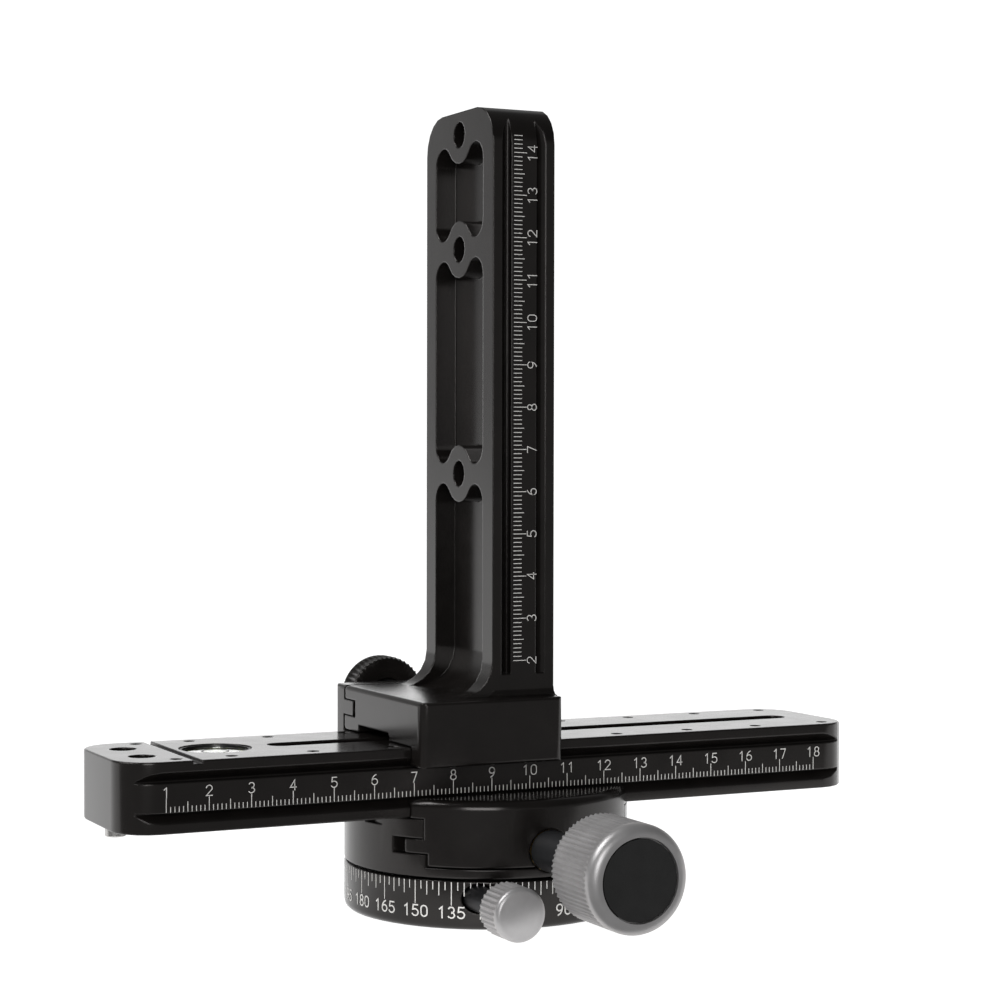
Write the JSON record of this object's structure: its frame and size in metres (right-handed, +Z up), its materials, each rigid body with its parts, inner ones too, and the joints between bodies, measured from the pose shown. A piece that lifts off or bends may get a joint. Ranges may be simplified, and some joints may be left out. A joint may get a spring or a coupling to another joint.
{
  "type": "panoramic tripod head",
  "caption": "Panoramic tripod head: a scaled double-dovetail rail with a bubble level in a panning base clamp, and an upright bar clamped on the rail.",
  "frame": {"origin": "middle of the footprint box, on the plane of the base's underside", "axes": "+X along the rail to the end away from the level, +Y from the large knob toward the rear knob, +Z up along the pan axis"},
  "size_m": [0.192, 0.122, 0.1924],
  "materials": {
    "pan_thrust_washer": "low-friction plastic",
    "pan_friction_washer": "plain",
    "pan_retaining_nut": "plain steel",
    "lock_brake_plug": "plain",
    "lock_screw": "blackened steel",
    "lock_knob_grip": "satin silver anodised, fluted",
    "lower_thrust_washer": "plain",
    "upper_thrust_washer": "plain",
    "lower_jaw_spring": "plain steel",
    "upper_jaw_spring": "plain steel",
    "base_drum": "satin black anodised",
    "tripod_bushing": "plain steel",
    "pan_rotor": "plain steel",
    "clamp_body": "satin black anodised",
    "rotor_screw_1": "plain steel",
    "rotor_screw_2": "plain steel",
    "rotor_screw_3": "plain steel",
    "rotor_screw_4": "plain steel",
    "lower_jaw": "satin black anodised",
    "lower_clamp_screw": "blackened steel",
    "lower_knob_grip": "satin silver anodised, fluted",
    "lower_knob_bolt": "plain steel",
    "lower_knob_cap": "matt black disc",
    "rail": "satin black anodised",
    "rail_stop_pin": "plain steel",
    "level_cup": "white",
    "level_fluid": "yellow-green level liquid",
    "level_bubble": "clear",
    "level_lens": "clear",
    "upright": "satin black anodised",
    "upper_jaw": "satin black anodised",
    "upper_clamp_screw": "plain steel",
    "upper_knob_grip": "satin black anodised, fluted",
    "upper_knob_bolt": "plain steel",
    "upper_knob_cap": "matt black disc"
  },
  "bodies": {
    "base": {"base_drum": "base_drum", "tripod_bushing": "tripod_bushing", "pan_thrust_washer": "pan_thrust_washer", "pan_friction_washer": "pan_friction_washer", "pan_retaining_nut": "pan_retaining_nut"},
    "lock_plug": {"lock_brake_plug": "lock_brake_plug"},
    "lock_knob": {"lock_screw": "lock_screw", "lock_knob_grip": "lock_knob_grip"},
    "turntable": {"clamp_body": "clamp_body", "pan_rotor": "pan_rotor", "rotor_screw_1": "rotor_screw_1", "rotor_screw_2": "rotor_screw_2", "rotor_screw_3": "rotor_screw_3", "rotor_screw_4": "rotor_screw_4", "lower_jaw_spring": "lower_jaw_spring"},
    "lower_jaw": {"lower_jaw": "lower_jaw", "lower_thrust_washer": "lower_thrust_washer"},
    "lower_knob": {"lower_clamp_screw": "lower_clamp_screw", "lower_knob_grip": "lower_knob_grip", "lower_knob_bolt": "lower_knob_bolt", "lower_knob_cap": "lower_knob_cap"},
    "rail": {"rail": "rail", "rail_stop_pin": "rail_stop_pin", "level_cup": "level_cup", "level_fluid": "level_fluid", "level_bubble": "level_bubble", "level_lens": "level_lens"},
    "upright": {"upright": "upright", "upper_jaw_spring": "upper_jaw_spring"},
    "upper_jaw": {"upper_jaw": "upper_jaw", "upper_thrust_washer": "upper_thrust_washer"},
    "upper_knob": {"upper_clamp_screw": "upper_clamp_screw", "upper_knob_grip": "upper_knob_grip", "upper_knob_bolt": "upper_knob_bolt", "upper_knob_cap": "upper_knob_cap"}
  },
  "joints": [
    {"name": "pan_turn", "type": "hinge", "parent": "base", "child": "turntable", "pos_m": [0.0015, 0.0165, 0.0114], "axis": [0, 0, 1], "continuous": true},
    {"name": "lock_plug_slide", "type": "slide", "parent": "base", "child": "lock_plug", "axis": [0, -1, 0], "range_m": [0, 0.0008]},
    {"name": "lock_knob_turn", "type": "hinge", "parent": "lock_plug", "child": "lock_knob", "pos_m": [-0.0147, -0.0367, 0.0075], "axis": [0, -1, 0], "range_deg": [0, 361]},
    {"name": "lower_jaw_slide", "type": "slide", "parent": "turntable", "child": "lower_jaw", "axis": [0, -1, 0], "range_m": [0, 0.0034], "deforming": ["lower_jaw_spring"]},
    {"name": "lower_knob_turn", "type": "hinge", "parent": "lower_jaw", "child": "lower_knob", "pos_m": [0.0015, -0.061, 0.0181], "axis": [0, -1, 0], "range_deg": [0, 980]},
    {"name": "rail_slide", "type": "slide", "parent": "turntable", "child": "rail", "axis": [1, 0, 0], "range_m": [-0.045, 0.05]},
    {"name": "upright_slide", "type": "slide", "parent": "rail", "child": "upright", "axis": [1, 0, 0], "range_m": [-0.055, 0.08]},
    {"name": "upper_jaw_slide", "type": "slide", "parent": "upright", "child": "upper_jaw", "axis": [0, 1, 0], "range_m": [0, 0.0036], "deforming": ["upper_jaw_spring"]},
    {"name": "upper_knob_turn", "type": "hinge", "parent": "upper_jaw", "child": "upper_knob", "pos_m": [-0.0083, 0.061, 0.0474], "axis": [0, 1, 0], "range_deg": [0, 1038]}
  ],
  "couplings": [
    {"joint": "lock_knob_turn", "follows": "lock_plug_slide", "rad_per_m": 7854},
    {"joint": "lower_knob_turn", "follows": "lower_jaw_slide", "rad_per_m": 5026.5},
    {"joint": "upper_knob_turn", "follows": "upper_jaw_slide", "rad_per_m": 5026.5}
  ]
}
